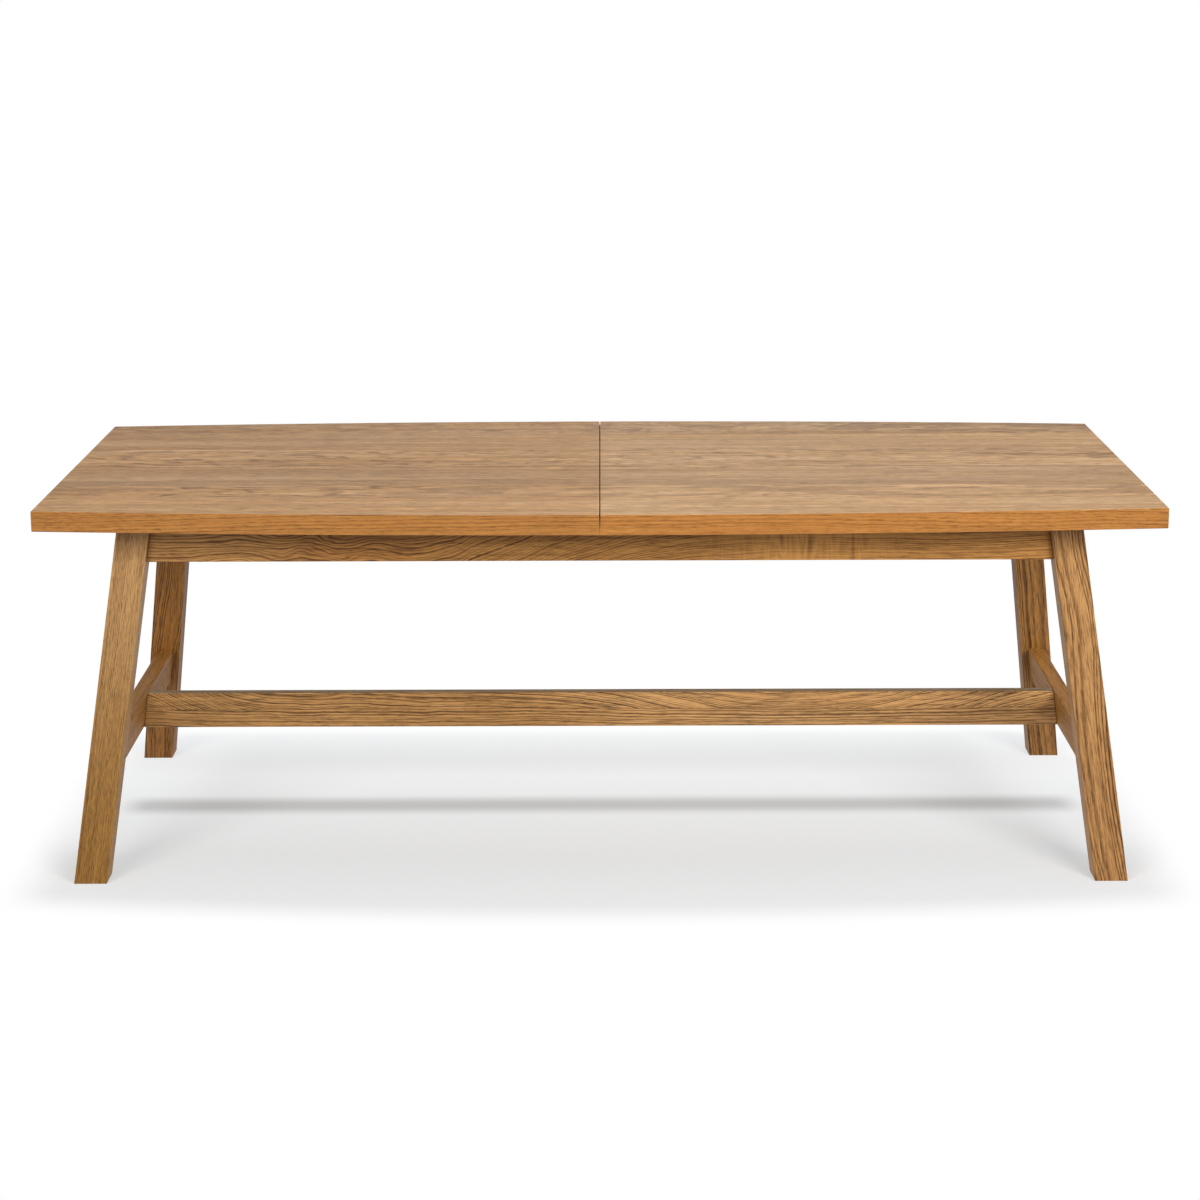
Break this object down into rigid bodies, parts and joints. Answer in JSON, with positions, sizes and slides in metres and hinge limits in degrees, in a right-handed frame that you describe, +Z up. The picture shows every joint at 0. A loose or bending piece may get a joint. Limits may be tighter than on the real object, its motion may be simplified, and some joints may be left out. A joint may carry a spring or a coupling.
{
  "type": "extendable dining table",
  "caption": "Oak trestle dining table with splayed square legs, a long stretcher and a boat-shaped top whose geared halves slide apart for a leaf stored underneath",
  "frame": {"origin": "centre of the floor footprint, on the floor plane", "axes": "+X along the length, +Y from front to rear, +Z up"},
  "size_m": [2.2, 1.08, 0.76],
  "materials": {
    "top_oak": "satin oiled oak, pale tan, lengthwise staves",
    "edge_oak": "satin oiled oak, warm orange-brown edge lipping",
    "leg_oak": "satin oiled oak, straight grain",
    "rail_oak": "satin oiled oak, cathedral grain",
    "inner_wood": "unfinished planed beech",
    "steel": "zinc plated",
    "nylon": "natural nylon",
    "brass": "satin"
  },
  "bodies": {
    "base": {"leg_front_left": "leg_oak", "leg_front_right": "leg_oak", "leg_rear_left": "leg_oak", "leg_rear_right": "leg_oak", "corner_block_front_left": "inner_wood", "corner_block_front_right": "inner_wood", "corner_block_rear_left": "inner_wood", "corner_block_rear_right": "inner_wood", "corner_bolt_front_left": "steel", "corner_bolt_front_right": "steel", "corner_bolt_rear_left": "steel", "corner_bolt_rear_right": "steel", "apron_front": "rail_oak", "apron_rear": "rail_oak", "end_rail_left": "rail_oak", "end_rail_right": "rail_oak", "cross_rail_left": "rail_oak", "cross_rail_right": "rail_oak", "stretcher": "rail_oak", "bearer_left": "inner_wood", "bearer_centre": "inner_wood", "bearer_right": "inner_wood", "slide_beam_front": "inner_wood", "slide_beam_rear": "inner_wood", "pinion_axle_front": "steel", "pinion_axle_rear": "steel", "leaf": "top_oak", "leaf_dowel_left": "inner_wood", "leaf_dowel_right": "inner_wood", "leaf_ledge_front": "inner_wood", "leaf_ledge_rear": "inner_wood", "button_screw_left": "steel", "button_screw_right": "steel"},
    "top_left": {"top_panel_left": "top_oak", "lipping_front_left": "edge_oak", "lipping_rear_left": "edge_oak", "lipping_end_left": "edge_oak", "runner_front_left": "inner_wood", "runner_rear_left": "inner_wood", "rack_front_left": "nylon", "rack_rear_left": "nylon", "dowel_front": "inner_wood", "dowel_rear": "inner_wood", "latch_base": "steel"},
    "top_right": {"top_panel_right": "top_oak", "lipping_front_right": "edge_oak", "lipping_rear_right": "edge_oak", "lipping_end_right": "edge_oak", "runner_front_right": "inner_wood", "runner_rear_right": "inner_wood", "rack_front_right": "nylon", "rack_rear_right": "nylon", "latch_keeper": "steel"},
    "pinion_front": {"pinion_front": "nylon"},
    "pinion_rear": {"pinion_rear": "nylon"},
    "latch_lever": {"latch_lever": "brass"},
    "turn_button_left": {"turn_button_left": "brass"},
    "turn_button_right": {"turn_button_right": "brass"}
  },
  "joints": [
    {"name": "top_left_slide", "type": "slide", "parent": "base", "child": "top_left", "axis": [-1, 0, 0], "range_m": [0, 0.25]},
    {"name": "top_right_slide", "type": "slide", "parent": "base", "child": "top_right", "axis": [1, 0, 0], "range_m": [0, 0.25]},
    {"name": "pinion_front_spin", "type": "hinge", "parent": "base", "child": "pinion_front", "pos_m": [0, -0.248, 0.694], "axis": [0, 0, -1], "range_deg": [0, 853.1]},
    {"name": "pinion_rear_spin", "type": "hinge", "parent": "base", "child": "pinion_rear", "pos_m": [0, 0.248, 0.694], "axis": [0, 0, 1], "range_deg": [0, 853.1]},
    {"name": "latch_swing", "type": "hinge", "parent": "top_left", "child": "latch_lever", "pos_m": [-0.035, 0, 0.7115], "axis": [0, 0, 1], "range_deg": [0, 90]},
    {"name": "button_left_turn", "type": "hinge", "parent": "base", "child": "turn_button_left", "pos_m": [-0.38, -0.275, 0.623], "axis": [0, 0, 1], "range_deg": [0, 90]},
    {"name": "button_right_turn", "type": "hinge", "parent": "base", "child": "turn_button_right", "pos_m": [0.38, -0.275, 0.623], "axis": [0, 0, 1], "range_deg": [0, 90]}
  ],
  "couplings": [
    {"joint": "top_right_slide", "follows": "top_left_slide", "ratio": 1},
    {"joint": "pinion_front_spin", "follows": "top_left_slide", "rad_per_m": 59.524},
    {"joint": "pinion_rear_spin", "follows": "top_left_slide", "rad_per_m": 59.524}
  ]
}
